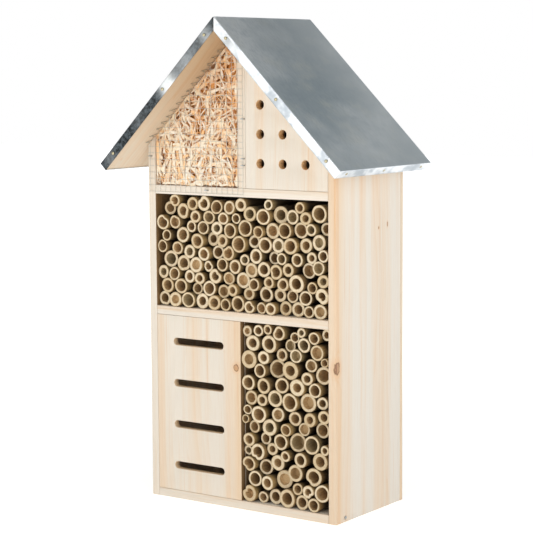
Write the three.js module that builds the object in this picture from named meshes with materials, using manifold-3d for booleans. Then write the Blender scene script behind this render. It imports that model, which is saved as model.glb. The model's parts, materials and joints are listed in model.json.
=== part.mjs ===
// Insect hotel: a fir cabinet with three storeys under a folded sheet-steel roof. The gable holds wood wool
// behind a wire mesh and a drilled panel, the storeys below hold bamboo tubes and a slotted chamber.
// Millimetres, +Z up, front towards -Y, origin on the ground under the centre of the roof.
import * as THREE from 'three';
import { mergeVertices } from 'three/addons/utils/BufferGeometryUtils.js';
import Module from 'manifold-3d';

const wasm = await Module();
wasm.setup();

// ---- Driving dimensions ----

const HEIGHT = 480; // ground to ridge
const BODY_WIDTH = 223;
const BODY_DEPTH = 121.4;
const BOARD = 8.5; // sides, shelves, dividers and bottom
const BACK_BOARD = 4.5;
const GAP = 0.25; // left between pieces that touch
const WELD = 1e-4; // vertices nearer than this are one
const OVERCUT = 1; // how far a cutter runs past the surface that it opens

const ROOF_HALF_WIDTH = 141.6;
const ROOF_PITCH = Math.PI / 4;
const FRONT_OVERHANG = 38.3;
const REAR_OVERHANG = 3.3;
const ROOF_BOARD = 7.9;
const SHEET = 0.6;
const FLANGE = 9.5; // how far the sheet is folded down over the boards' edges
const RIDGE_SEAM = 0.7; // slit between the two front flanges, and between the two rear ones

const LOWER_SHELF_TOP = 195;
const UPPER_SHELF_TOP = 316.1;
const LOWER_DIVIDER_RIGHT = 0.5;
const GABLE_DIVIDER_LEFT = -0.4;

const DRILLED_PANEL = 8.5; // thickness
const DRILL_SEGMENTS = 10; // straight edges round half a drilled hole
const DRILL = 9.2; // hole diameter
const DRILL_PITCH_X = 26;
const DRILL_PITCH_Z = 28;
const FIRST_DRILL_X = 25.7;
const FIRST_DRILL_Z = 340.6;
const DRILL_ROWS = [3, 2, 1]; // holes in each row, from the bottom

const SLOT_PANEL = 7; // thickness
const SLOT_LENGTH = 62;
const SLOT_HEIGHT = 7.5;
const SLOT_PITCH = 41.9;
const SLOT_COUNT = 4;
const SLOT_SEGMENTS = 5; // straight edges round each end of a slot
const FIRST_SLOT_Z = 34.6;

const WIRE = 0.6;
const MESH_PITCH = 6.35;
const MESH_LEFT = -111;
const MESH_RIGHT = 5.9;
const MESH_BOTTOM = 309.9;
const MESH_TOP_CLEARANCE = 1.8; // below the roof board
const WIRE_END = 6; // wire ends folded forward under the roof board
const CROSSING = 0.05; // free depth where two wires cross

const WOOL_CLEARANCE = 1; // between the wood wool and the boards round it

const WIDE_TUBE = 6.8; // radius above which a tube has more flats
const TUBE_FLATS = { slim: 6, wide: 8 };
const TUBE_WALL = [0.22, 0.44]; // thinnest and thickest wall, as a share of the radius
const TUBE_SOLID_END = 7; // closed length at a tube's rear, behind its bore
const TUBE_BACK_CLEARANCE = 2;
const TUBE_RECESS = [0.6, 8]; // front ends behind the cabinet's front
const TUBE_SLIDE = 6; // how far along its row a tube looks for its lowest place, and in what steps
const TUBE_SLIDE_STEP = 0.5;
const WEB = 1.6; // bar that joins two tubes of a bundle
const MOST_WEB = 2.6; // longest free length of such a bar
const UPPER_TUBES = { radius: [4.7, 8.8], margin: [0.15, 0.4], bundles: 8, seed: 44 };
const LOWER_TUBES = { radius: [3.9, 10.3], margin: [0.15, 0.4], bundles: 11, seed: 39 };

const NAIL_SIDES = 6;
const NAIL_SHOULDER = { out: 0.8, up: 0.7 }; // where a head turns over, as shares of its size
const NAIL = { head: 1.6, dome: 0.7, shank: 0.7, length: 11 };
const SIDE_NAIL = { head: 1.7, dome: 0.3, shank: 0.8, length: 19 };
const HANGER_NAIL = { head: 1.5, dome: 0.6, shank: 0.7, length: 3.5 };
const NAIL_BELOW_SLOPE = 4.6;
const LEFT_SLOPE_NAILS = [20, 92, 181]; // distances down the slope from the ridge
const RIGHT_SLOPE_NAILS = [25, 105, 183];
const REAR_SLOPE_NAILS = [40, 165];
const EAVE_NAILS = [15.3, 80.2, 148.3]; // distances behind the roof's front
const SIDE_NAIL_SETBACK = 16.4;
const COUNTERSINK = 1; // depth of the pocket round a side nail's head

const STAPLE = { crown: 3.2, thickness: 0.7, leg: 5 };
// Each staple holds the mesh's upright wire `column`, counted from the right, in cell `row`, from the bottom
const DIVIDER_STAPLES = [{ column: 0, row: 4 }, { column: 0, row: 5 }, { column: 0, row: 11 }];
const LEFT_SIDE_STAPLES = [{ column: 18, row: 5 }];
const SHELF_STAPLES = [{ column: 7, row: 0 }];

const HANGER = { length: 46, height: 10, thickness: 1, raised: 1.3, foot: 8 };
const HANGER_TEETH = { count: 8, pitch: 2.4, land: 0.2 };
const HANGER_Z = 405;

// ---- Dimensions that follow ----

const FRONT = (FRONT_OVERHANG - BODY_DEPTH - REAR_OVERHANG) / 2; // front face of the cabinet
const BACK = FRONT + BODY_DEPTH;
const ROOF_FRONT = FRONT - FRONT_OVERHANG;
const ROOF_BACK = BACK + REAR_OVERHANG;
const INSIDE_BACK = BACK - BACK_BOARD - GAP; // rear edges of the sides and shelves
const HALF_WIDTH = BODY_WIDTH / 2;
const HALF_INSIDE = HALF_WIDTH - BOARD;
const SLOPE_LENGTH = ROOF_HALF_WIDTH / Math.cos(ROOF_PITCH);
const LOWER_SHELF = LOWER_SHELF_TOP - BOARD; // undersides
const UPPER_SHELF = UPPER_SHELF_TOP - BOARD;
const GABLE_DIVIDER_RIGHT = GABLE_DIVIDER_LEFT + BOARD;

// Height of the roof boards' underside above the ground, at a distance x from the middle
function roofUnderside(x) {
  const build = SHEET + GAP + ROOF_BOARD;
  return HEIGHT - Math.abs(x) * Math.tan(ROOF_PITCH) - build / Math.cos(ROOF_PITCH);
}

// Point of the roof's section: `along` down the slope from the ridge, `below` square to it; side is -1 or 1
function slopePoint(side, along, below) {
  const x = along * Math.cos(ROOF_PITCH) - below * Math.sin(ROOF_PITCH);
  const z = HEIGHT - along * Math.sin(ROOF_PITCH) - below * Math.cos(ROOF_PITCH);
  return [side * x, z];
}

// ---- Materials ----

function finish(color, roughness, metalness = 0) {
  return new THREE.MeshStandardMaterial({ color, roughness, metalness });
}

const fir = () => finish('#ecdcc4', 0.7);
const firPanel = () => finish('#ead5b8', 0.7);
const plywood = () => finish('#e2cba8', 0.75);
const galvanised = () => finish('#8b979c', 0.35, 0.9);
const bamboo = () => finish('#d9bf8c', 0.65);
const woodWool = () => finish('#e6bd85', 0.9);
const wireSteel = () => finish('#a9adad', 0.4, 0.9);
const brass = () => finish('#cbbd8e', 0.4, 0.8);
const zincPlate = () => finish('#b5b8ba', 0.4, 0.9);

// ---- Shapes ----

function block([x0, x1], [y0, y1], [z0, z1]) {
  const geometry = new THREE.BoxGeometry(x1 - x0, y1 - y0, z1 - z0);
  geometry.translate((x0 + x1) / 2, (y0 + y1) / 2, (z0 + z1) / 2);
  return geometry;
}

// Solid with its outline in the x-z plane, from yFront to yBack
function extrudeBack(outline, yFront, yBack, holes = [], curveSegments = 1) {
  const shape = new THREE.Shape(outline.map(([x, z]) => new THREE.Vector2(x, z)));
  shape.holes.push(...holes);
  const depth = yBack - yFront;
  const geometry = new THREE.ExtrudeGeometry(shape, { depth, bevelEnabled: false, curveSegments });
  geometry.rotateX(Math.PI / 2);
  geometry.translate(0, yBack, 0);
  return geometry;
}

function toSolid(geometry) {
  const bare = geometry.clone();
  bare.deleteAttribute('normal');
  bare.deleteAttribute('uv');
  const merged = mergeVertices(bare, WELD);
  const index = merged.index.array;
  const triangles = [];
  for (let i = 0; i < index.length; i += 3) {
    const [a, b, c] = index.slice(i, i + 3);
    if (a !== b && b !== c && c !== a) triangles.push(a, b, c);
  }
  const vertProperties = merged.attributes.position.array;
  const triVerts = Uint32Array.from(triangles);
  return new wasm.Manifold(new wasm.Mesh({ numProp: 3, vertProperties, triVerts }));
}

function toGeometry(solid) {
  const { vertProperties, triVerts } = solid.getMesh();
  const geometry = new THREE.BufferGeometry();
  geometry.setAttribute('position', new THREE.BufferAttribute(vertProperties, 3));
  geometry.setIndex(new THREE.BufferAttribute(triVerts, 1));
  geometry.computeVertexNormals();
  return geometry;
}

function cut(geometry, cutters) {
  const whole = toSolid(geometry);
  return toGeometry(cutters.map(toSolid).reduce((solid, cutter) => solid.subtract(cutter), whole));
}

function join(geometries) {
  return toGeometry(geometries.map(toSolid).reduce((solid, other) => solid.add(other)));
}

// ---- The assembly, and what is fastened to it ----

const hotel = new THREE.Group();
hotel.name = 'insect_hotel';

function add(name, geometry, material) {
  const mesh = new THREE.Mesh(geometry, material);
  mesh.name = name;
  hotel.add(mesh);
  return mesh;
}

// Turned profile of a nail: it points down, and its head's underside is at the origin
function nailGeometry({ head, dome, shank, length }) {
  const profile = [
    [0, -length - shank],
    [shank, -length],
    [shank, 0],
    [head, 0],
    [head * NAIL_SHOULDER.out, dome * NAIL_SHOULDER.up],
    [0, dome],
  ];
  return new THREE.LatheGeometry(profile.map(([r, y]) => new THREE.Vector2(r, y)), NAIL_SIDES);
}

const UP = new THREE.Vector3(0, 1, 0);

function turn(geometry, place, outward) {
  geometry.applyQuaternion(new THREE.Quaternion().setFromUnitVectors(UP, outward));
  return geometry.translate(...place);
}

// Cutter for a nail's hole, from just outside the surface to just past its point
function nailHole({ shank, length }, place, outward) {
  const depth = length + shank + 2 * GAP;
  const hole = new THREE.CylinderGeometry(shank + GAP, shank + GAP, depth + OVERCUT, NAIL_SIDES);
  hole.translate(0, (OVERCUT - depth) / 2, 0);
  return turn(hole, place, outward);
}

// Every nail: its name, kind, the point of the surface it is driven into, and the way its head faces
function roofNails() {
  const nails = [];
  const front = new THREE.Vector3(0, -1, 0);
  const rear = new THREE.Vector3(0, 1, 0);
  const onSlope = (label, side, distances, y, outward) => distances.forEach((along, i) => {
    const [x, z] = slopePoint(side, along, NAIL_BELOW_SLOPE);
    nails.push({ name: `roof_nail_${label}_${i + 1}`, kind: NAIL, place: [x, y, z], outward });
  });
  onSlope('front_left', -1, LEFT_SLOPE_NAILS, ROOF_FRONT, front);
  onSlope('front_right', 1, RIGHT_SLOPE_NAILS, ROOF_FRONT, front);
  onSlope('rear_left', -1, REAR_SLOPE_NAILS, ROOF_BACK, rear);
  onSlope('rear_right', 1, REAR_SLOPE_NAILS, ROOF_BACK, rear);
  for (const [label, side] of [['left', -1], ['right', 1]]) {
    const [x, z] = slopePoint(side, SLOPE_LENGTH, NAIL_BELOW_SLOPE);
    const outward = new THREE.Vector3(side * Math.cos(ROOF_PITCH), 0, -Math.sin(ROOF_PITCH));
    EAVE_NAILS.forEach((back, i) => {
      const place = [x, ROOF_FRONT + back, z];
      nails.push({ name: `roof_nail_eave_${label}_${i + 1}`, kind: NAIL, place, outward });
    });
  }
  return nails;
}

function sideNails() {
  return [['left', -1], ['right', 1]].map(([label, side]) => ({
    name: `side_nail_${label}`,
    kind: SIDE_NAIL,
    place: [side * HALF_WIDTH, FRONT + SIDE_NAIL_SETBACK, BOARD / 2],
    outward: new THREE.Vector3(side, 0, 0),
  }));
}

function hangerNails() {
  const reach = (HANGER.length - HANGER.foot) / 2;
  return [['left', -1], ['right', 1]].map(([label, side]) => ({
    name: `hanger_nail_${label}`,
    kind: HANGER_NAIL,
    place: [side * reach, BACK + GAP + HANGER.thickness, HANGER_Z],
    outward: new THREE.Vector3(0, 1, 0),
  }));
}

const ROOF_NAILS = roofNails();
const SIDE_NAILS = sideNails();
const HANGER_NAILS = hangerNails();

function holesFor(nails) {
  return nails.map(({ kind, place, outward }) => nailHole(kind, place, outward));
}

function addNails(nails, material) {
  for (const { name, kind, place, outward } of nails) {
    const mesh = add(name, nailGeometry(kind), material());
    mesh.position.set(...place).addScaledVector(outward, GAP);
    mesh.quaternion.setFromUnitVectors(UP, outward);
  }
}

const STAPLE_SEAT = FRONT - GAP - 2 * WIRE - 2 * GAP; // underside of a crown, over both wires

function stapleGeometry() {
  const { crown, thickness, leg } = STAPLE;
  const half = crown / 2;
  const inner = half - thickness;
  const drop = FRONT - STAPLE_SEAT + leg;
  const outline = [
    [-half, thickness],
    [-half, -drop],
    [-inner, -drop],
    [-inner, 0],
    [inner, 0],
    [inner, -drop],
    [half, -drop],
    [half, thickness],
  ];
  const shape = new THREE.Shape(outline.map(([x, y]) => new THREE.Vector2(x, y)));
  const geometry = new THREE.ExtrudeGeometry(shape, { depth: thickness, bevelEnabled: false });
  geometry.translate(0, 0, -thickness / 2);
  geometry.rotateZ(Math.PI);
  return geometry;
}

function staplePlace({ column, row }) {
  return [MESH_RIGHT - column * MESH_PITCH, MESH_BOTTOM + (row + 0.5) * MESH_PITCH];
}

function stapleHoles(staples) {
  const { crown, thickness, leg } = STAPLE;
  const reach = (crown - thickness) / 2;
  const half = thickness / 2 + GAP;
  const depth = [FRONT - OVERCUT, FRONT + leg + GAP];
  return staples.flatMap((staple) => {
    const [x, z] = staplePlace(staple);
    return [x - reach, x + reach].map((middle) => (
      block([middle - half, middle + half], depth, [z - half, z + half])
    ));
  });
}

function addStaples() {
  [...LEFT_SIDE_STAPLES, ...DIVIDER_STAPLES, ...SHELF_STAPLES].forEach((staple, i) => {
    const [x, z] = staplePlace(staple);
    add(`mesh_staple_${i + 1}`, stapleGeometry(), zincPlate()).position.set(x, STAPLE_SEAT, z);
  });
}

// ---- Cabinet ----

function sideBoard(side) {
  const outer = side * HALF_WIDTH;
  const inner = side * HALF_INSIDE;
  const outline = [
    [outer, 0],
    [outer, roofUnderside(outer) - GAP],
    [inner, roofUnderside(inner) - GAP],
    [inner, 0],
  ];
  return extrudeBack(outline, FRONT, INSIDE_BACK);
}

function addSides() {
  const [leftNail, rightNail] = SIDE_NAILS;
  const countersink = ({ place, outward }) => {
    const radius = SIDE_NAIL.head + GAP;
    const pocket = new THREE.CylinderGeometry(radius, radius, 2 * COUNTERSINK, 2 * NAIL_SIDES);
    return turn(pocket, place, outward);
  };
  const nailed = (nail) => [...holesFor([nail]), countersink(nail)];
  const stapled = stapleHoles(LEFT_SIDE_STAPLES);
  add('left_side_board', cut(sideBoard(-1), [...nailed(leftNail), ...stapled]), fir());
  add('right_side_board', cut(sideBoard(1), nailed(rightNail)), fir());
}

function shelf(underside) {
  const half = HALF_INSIDE - GAP;
  return block([-half, half], [FRONT, INSIDE_BACK], [underside, underside + BOARD]);
}

function addShelves() {
  add('bottom_board', cut(shelf(0), holesFor(SIDE_NAILS)), fir());
  add('lower_shelf', shelf(LOWER_SHELF), fir());
  add('upper_shelf', cut(shelf(UPPER_SHELF), stapleHoles(SHELF_STAPLES)), fir());
}

// Outline between two upright edges, from z up to the roof boards, with a peak where it passes the middle
function underRoof(x0, x1, z) {
  const top = (x) => [x, roofUnderside(x) - GAP];
  const peak = x0 < 0 && x1 > 0 ? [top(0)] : [];
  return [[x0, z], [x1, z], top(x1), ...peak, top(x0)];
}

function addBack() {
  const outline = underRoof(-HALF_WIDTH, HALF_WIDTH, 0);
  const board = extrudeBack(outline, BACK - BACK_BOARD, BACK);
  add('back_board', cut(board, holesFor(HANGER_NAILS)), plywood());
}

function addDividers() {
  const gable = underRoof(GABLE_DIVIDER_LEFT, GABLE_DIVIDER_RIGHT, UPPER_SHELF_TOP + GAP);
  const divider = extrudeBack(gable, FRONT, INSIDE_BACK);
  add('gable_divider', cut(divider, stapleHoles(DIVIDER_STAPLES)), fir());
  const lower = block(
    [LOWER_DIVIDER_RIGHT - BOARD, LOWER_DIVIDER_RIGHT],
    [FRONT + SLOT_PANEL + GAP, INSIDE_BACK],
    [BOARD + GAP, LOWER_SHELF - GAP],
  );
  add('lower_divider', lower, fir());
}

function drillHoles() {
  return DRILL_ROWS.flatMap((count, row) => Array.from({ length: count }, (_, column) => {
    const hole = new THREE.Path();
    const x = FIRST_DRILL_X + column * DRILL_PITCH_X;
    return hole.absarc(x, FIRST_DRILL_Z + row * DRILL_PITCH_Z, DRILL / 2, 0, 2 * Math.PI);
  }));
}

function addDrilledPanel() {
  const outline = underRoof(GABLE_DIVIDER_RIGHT + GAP, HALF_INSIDE - GAP, UPPER_SHELF_TOP + GAP);
  const panel = extrudeBack(outline, FRONT, FRONT + DRILLED_PANEL, drillHoles(), DRILL_SEGMENTS);
  add('drilled_panel', panel, firPanel());
}

function slots(middle) {
  const radius = SLOT_HEIGHT / 2;
  const reach = SLOT_LENGTH / 2 - radius;
  return Array.from({ length: SLOT_COUNT }, (_, i) => {
    const z = FIRST_SLOT_Z + i * SLOT_PITCH;
    const slot = new THREE.Path();
    slot.absarc(middle + reach, z, radius, -Math.PI / 2, Math.PI / 2);
    slot.absarc(middle - reach, z, radius, Math.PI / 2, 1.5 * Math.PI);
    return slot.closePath();
  });
}

function addSlotPanel() {
  const left = -HALF_INSIDE + GAP;
  const right = LOWER_DIVIDER_RIGHT;
  const low = BOARD + GAP;
  const high = LOWER_SHELF - GAP;
  const outline = [[left, low], [right, low], [right, high], [left, high]];
  const cutOuts = slots((left + right) / 2);
  const panel = extrudeBack(outline, FRONT, FRONT + SLOT_PANEL, cutOuts, SLOT_SEGMENTS);
  add('slot_panel', panel, firPanel());
}

// ---- Roof ----

function addRoofBoards() {
  const top = SHEET + GAP;
  const bottom = top + ROOF_BOARD;
  const eave = SLOPE_LENGTH - SHEET - GAP;
  const holes = holesFor(ROOF_NAILS);
  for (const [label, side] of [['left', -1], ['right', 1]]) {
    const outline = [
      slopePoint(side, top + GAP, top),
      slopePoint(side, eave, top),
      slopePoint(side, eave, bottom),
      slopePoint(side, bottom + GAP, bottom),
    ];
    const board = extrudeBack(outline, ROOF_FRONT + SHEET + GAP, ROOF_BACK - SHEET - GAP);
    add(`roof_board_${label}`, cut(board, holes), fir());
  }
}

// One sheet folded over the ridge, with its edges folded down all round
function addRoofSheet() {
  const section = (end, top, bottom) => [
    slopePoint(-1, end, bottom),
    slopePoint(-1, end, top),
    slopePoint(1, top, top),
    slopePoint(1, end, top),
    slopePoint(1, end, bottom),
    slopePoint(1, bottom, bottom),
  ];
  const outside = extrudeBack(section(SLOPE_LENGTH, 0, FLANGE), ROOF_FRONT, ROOF_BACK);
  const inside = extrudeBack(
    section(SLOPE_LENGTH - SHEET, SHEET, FLANGE + 2 * SHEET),
    ROOF_FRONT + SHEET,
    ROOF_BACK - SHEET,
  );
  const half = RIDGE_SEAM / 2;
  const flangeHeights = [HEIGHT - 2 * FLANGE, HEIGHT + OVERCUT];
  const frontFlange = [ROOF_FRONT - OVERCUT, ROOF_FRONT + SHEET];
  const rearFlange = [ROOF_BACK - SHEET, ROOF_BACK + OVERCUT];
  const seams = [frontFlange, rearFlange].map((depths) => block([-half, half], depths, flangeHeights));
  add('roof_sheet', cut(outside, [inside, ...seams, ...holesFor(ROOF_NAILS)]), galvanised());
}

// ---- Wood wool and its mesh ----

function addWoodWool() {
  const left = -HALF_INSIDE + WOOL_CLEARANCE;
  const right = GABLE_DIVIDER_LEFT - WOOL_CLEARANCE;
  const top = (x) => roofUnderside(x) - 2 * WOOL_CLEARANCE;
  const outline = [
    [left, UPPER_SHELF_TOP + WOOL_CLEARANCE],
    [right, UPPER_SHELF_TOP + WOOL_CLEARANCE],
    [right, top(right)],
    [left, top(left)],
  ];
  add('wood_wool', extrudeBack(outline, FRONT + WOOL_CLEARANCE, INSIDE_BACK - WOOL_CLEARANCE), woodWool());
}

// The uprights lie in front of the level wires. They meet them, as at a weld, along the mesh's right and
// bottom edges, where the edge wire is deep enough to reach the wires that it holds.
function addWireMesh() {
  const half = WIRE / 2;
  const back = FRONT - GAP;
  const level = [back - WIRE, back];
  const upright = [level[0] - CROSSING - WIRE, level[0] - CROSSING];
  const bottomEdge = [level[0] - half, back];
  const rightEdge = [upright[0], back - half];
  const topAt = (x) => roofUnderside(x) - MESH_TOP_CLEARANCE;
  const wires = [];
  for (let x = MESH_RIGHT; x > MESH_LEFT; x -= MESH_PITCH) {
    const depth = x === MESH_RIGHT ? rightEdge : upright;
    wires.push(block([x - half, x + half], depth, [MESH_BOTTOM - half, topAt(x)]));
  }
  for (let z = MESH_BOTTOM; z < topAt(0) - MESH_PITCH; z += MESH_PITCH) {
    const slopeX = -(topAt(0) - z) / Math.tan(ROOF_PITCH);
    const reachesRoof = slopeX > MESH_LEFT;
    const left = reachesRoof ? slopeX : MESH_LEFT;
    const right = Math.min(MESH_RIGHT + half, -slopeX);
    const depth = z === MESH_BOTTOM ? bottomEdge : level;
    wires.push(block([left, right], depth, [z - half, z + half]));
    if (reachesRoof) wires.push(foldedEnd(left + half, back - half, z));
  }
  add('wire_mesh', join(wires), wireSteel());
}

// A level wire's end, folded forward and down along the underside of the left roof board
function foldedEnd(x, y, z) {
  const end = new THREE.BoxGeometry(WIRE, WIRE_END, WIRE);
  end.translate(0, WIRE_END / 2, 0);
  const forward = new THREE.Vector3(-Math.cos(ROOF_PITCH), -1, -Math.sin(ROOF_PITCH)).normalize();
  return turn(end, [x, y, z], forward);
}

// ---- Bamboo ----

// Seeded random numbers from 0 to 1
function randomSource(seed) {
  let state = seed;
  return () => {
    state = (Math.imul(state, 1664525) + 1013904223) >>> 0;
    return state / 2 ** 32;
  };
}

// Lays tubes in a room from left to right, each in the lowest place it can drop to near the last one, row on
// row until none fits. A tube keeps its own margin, because real tubes are neither straight nor round.
function layTubes({ left, right, bottom, top }, { radius, margin, seed }) {
  const random = randomSource(seed);
  const between = ([low, high], share) => low + (high - low) * share;
  const tubes = [];
  const rest = (x, r, m) => tubes.reduce((height, other) => {
    const reach = r + m + other.r + other.m;
    const across = Math.abs(x - other.x);
    return across < reach ? Math.max(height, other.z + Math.sqrt(reach ** 2 - across ** 2)) : height;
  }, bottom + GAP + r);
  const lowestPlace = (cursor, r, m) => {
    const first = Math.max(cursor, left + GAP) + r;
    const last = Math.min(first + TUBE_SLIDE, right - GAP - r);
    let best = null;
    for (let x = first; x <= last; x += TUBE_SLIDE_STEP) {
      const z = rest(x, r, m);
      if (z + r + GAP < top && (!best || z < best.z - WELD)) best = { x, z, r, m };
    }
    return best;
  };
  let laid = true;
  while (laid) {
    laid = false;
    let cursor = left + random();
    while (cursor < right) {
      const r = between(radius, (random() + random()) / 2);
      const place = lowestPlace(cursor, r, between(margin, random()));
      if (place) {
        const front = between(TUBE_RECESS, random() ** 3);
        tubes.push({ ...place, front, wall: between(TUBE_WALL, random()) });
        laid = true;
      }
      cursor = place ? place.x + place.r : cursor + radius[0];
    }
  }
  return tubes;
}

// Sorts tubes into bundles of neighbours: the nearest are joined first, and no bundle grows past its share
// until the smaller ones have grown.
function bundleTubes(tubes, count) {
  const links = [];
  tubes.forEach((a, i) => tubes.slice(i + 1).forEach((b) => {
    const gap = Math.hypot(a.x - b.x, a.z - b.z) - a.r - b.r;
    if (gap < MOST_WEB) links.push({ a, b, gap });
  }));
  links.sort((p, q) => p.gap - q.gap);
  let bundles = tubes.map((tube) => ({ tubes: [tube], links: [] }));
  const bundleOf = (tube) => bundles.find((bundle) => bundle.tubes.includes(tube));
  for (let most = 2; bundles.length > count && most <= tubes.length; most += 1) {
    for (const link of links) {
      const [p, q] = [bundleOf(link.a), bundleOf(link.b)];
      if (bundles.length > count && p !== q && p.tubes.length + q.tubes.length <= most) {
        const joined = { tubes: [...p.tubes, ...q.tubes], links: [...p.links, ...q.links, link] };
        bundles = [...bundles.filter((bundle) => bundle !== p && bundle !== q), joined];
      }
    }
  }
  return bundles;
}

// A bamboo section open at the front and closed by its joint at the rear
function tubeGeometry({ x, z, r, front, wall }) {
  const back = INSIDE_BACK - TUBE_BACK_CLEARANCE - FRONT;
  const bore = r * (1 - wall);
  const profile = [
    [0, -back],
    [r, -back],
    [r, -front],
    [bore, -front],
    [bore, TUBE_SOLID_END - back],
    [0, TUBE_SOLID_END - back],
  ];
  const flats = r > WIDE_TUBE ? TUBE_FLATS.wide : TUBE_FLATS.slim;
  const tube = new THREE.LatheGeometry(profile.map(([px, py]) => new THREE.Vector2(px, py)), flats);
  return turn(tube, [x, FRONT, z], new THREE.Vector3(0, -1, 0));
}

// Bar between the closed ends of two tubes
function webGeometry({ a, b }) {
  const length = Math.hypot(a.x - b.x, a.z - b.z);
  const web = new THREE.BoxGeometry(length, WEB, WEB);
  web.rotateY(-Math.atan2(b.z - a.z, b.x - a.x));
  const y = INSIDE_BACK - TUBE_BACK_CLEARANCE - TUBE_SOLID_END / 2;
  return web.translate((a.x + b.x) / 2, y, (a.z + b.z) / 2);
}

function addBamboo(label, room, kind) {
  const bundles = bundleTubes(layTubes(room, kind), kind.bundles);
  bundles.sort((p, q) => p.tubes[0].z - q.tubes[0].z);
  bundles.forEach(({ tubes, links }, i) => {
    const geometry = join([...tubes.map(tubeGeometry), ...links.map(webGeometry)]);
    add(`bamboo_${label}_${i + 1}`, geometry, bamboo());
  });
}

// ---- Hanger on the back ----

// Saw-toothed picture hanger: a strip raised in the middle, on two feet nailed to the back board
function addHanger() {
  const { length, height, thickness, raised, foot } = HANGER;
  const { count, pitch, land } = HANGER_TEETH;
  const half = length / 2;
  const seat = BACK + GAP;
  const step = half - foot;
  const rise = step - raised;
  const outline = [
    [-half, 0],
    [-step, 0],
    [-rise, raised],
    [rise, raised],
    [step, 0],
    [half, 0],
    [half, thickness],
    [step, thickness],
    [rise, raised + thickness],
    [-rise, raised + thickness],
    [-step, thickness],
    [-half, thickness],
  ];
  const shape = new THREE.Shape(outline.map(([x, y]) => new THREE.Vector2(x, y)));
  const strip = new THREE.ExtrudeGeometry(shape, { depth: height, bevelEnabled: false });
  const low = HANGER_Z - height / 2;
  strip.translate(0, seat, low);
  const notches = Array.from({ length: count }, (_, i) => {
    const x = (i - (count - 1) / 2) * pitch;
    const reach = (pitch - land) / 2;
    const triangle = [[x - reach, low - OVERCUT], [x + reach, low - OVERCUT], [x, low + pitch]];
    return extrudeBack(triangle, seat - OVERCUT, seat + raised + thickness + OVERCUT);
  });
  add('sawtooth_hanger', cut(strip, [...notches, ...holesFor(HANGER_NAILS)]), zincPlate());
}

// ---- Build ----

addSides();
addShelves();
addBack();
addDividers();
addDrilledPanel();
addSlotPanel();
addRoofBoards();
addRoofSheet();
addWoodWool();
addWireMesh();
addStaples();
addNails(ROOF_NAILS, brass);
addNails(SIDE_NAILS, zincPlate);
addHanger();
addNails(HANGER_NAILS, zincPlate);
addBamboo(
  'upper',
  { left: -HALF_INSIDE, right: HALF_INSIDE, bottom: LOWER_SHELF_TOP, top: UPPER_SHELF },
  UPPER_TUBES,
);
addBamboo(
  'lower',
  { left: LOWER_DIVIDER_RIGHT, right: HALF_INSIDE, bottom: BOARD, top: LOWER_SHELF },
  LOWER_TUBES,
);

export default hotel;
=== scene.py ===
import json
import math
import random
from collections import namedtuple

import bmesh
import bpy
from mathutils import Matrix, Vector, noise


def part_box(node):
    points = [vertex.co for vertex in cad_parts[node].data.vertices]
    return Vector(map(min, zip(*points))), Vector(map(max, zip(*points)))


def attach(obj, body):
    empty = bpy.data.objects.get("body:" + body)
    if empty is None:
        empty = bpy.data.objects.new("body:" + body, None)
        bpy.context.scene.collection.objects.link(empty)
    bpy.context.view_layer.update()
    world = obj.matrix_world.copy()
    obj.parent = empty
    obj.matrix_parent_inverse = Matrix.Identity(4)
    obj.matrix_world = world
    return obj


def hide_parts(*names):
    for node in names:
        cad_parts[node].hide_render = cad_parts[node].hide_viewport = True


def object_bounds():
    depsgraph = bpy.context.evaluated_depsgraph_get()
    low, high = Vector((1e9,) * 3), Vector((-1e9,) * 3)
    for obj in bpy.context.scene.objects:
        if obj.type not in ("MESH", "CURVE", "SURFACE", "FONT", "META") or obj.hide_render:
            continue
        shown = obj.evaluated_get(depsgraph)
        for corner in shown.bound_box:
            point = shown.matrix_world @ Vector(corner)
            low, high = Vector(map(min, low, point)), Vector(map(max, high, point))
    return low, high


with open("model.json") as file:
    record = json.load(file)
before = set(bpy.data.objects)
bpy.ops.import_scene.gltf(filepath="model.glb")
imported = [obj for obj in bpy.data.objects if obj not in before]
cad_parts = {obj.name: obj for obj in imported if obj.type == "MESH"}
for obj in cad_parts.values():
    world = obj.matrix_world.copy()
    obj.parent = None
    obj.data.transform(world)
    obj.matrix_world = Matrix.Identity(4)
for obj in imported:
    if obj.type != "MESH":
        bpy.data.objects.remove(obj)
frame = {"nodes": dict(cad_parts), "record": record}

CAD_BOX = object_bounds()
MM = 0.001
ROOT_2 = math.sqrt(2)

# The roof falls at 45 degrees on both sides, and the drilled panel ends just below its boards.
PANEL_GAP = 0.25 * MM
PANEL_LOW, PANEL_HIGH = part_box("drilled_panel")
UNDERSIDE_PEAK = PANEL_HIGH.z + PANEL_LOW.x + PANEL_GAP
WOOL_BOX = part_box("wood_wool")
SIDES = {-1: "left", 1: "right"}

# Sizes that the frame's boxes don't give
BOARD_EDGE = 0.5 * MM  # rounding of a board's arrises
PANEL_EDGE = 0.35 * MM
HANGER_EDGE = 0.12 * MM
HOLE_RADIUS = 4.6 * MM
SLOT_RADIUS = 3.75 * MM
SLOT_LENGTH = 62 * MM
SHEET = 0.6 * MM
FOLD_RADIUS = 0.8 * MM
FLANGE = 9.5 * MM
RIDGE_SEAM = 0.7 * MM
RIDGE_BEND = 1.2 * MM  # reach of the bend over the ridge, down each slope
NAIL_DENT = 0.15 * MM
TUBE_LIP = 0.28 * MM  # rounding of a tube's sawn edge
MESH_PITCH = 6.35 * MM
WIRE_RADIUS = 0.21 * MM
WIRE_GAP = 1.5 * MM  # from the ends of the wires to the roof boards
WOOL_GAP = 1.2 * MM
SHAVING = 0.24 * MM
SHAVING_STEP = 2.2 * MM
SHAVINGS = 2000
NAIL_RADIUS = 1.6 * MM
NAIL_HEIGHT = 0.7 * MM
SHANK_RADIUS = 0.7 * MM
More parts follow.
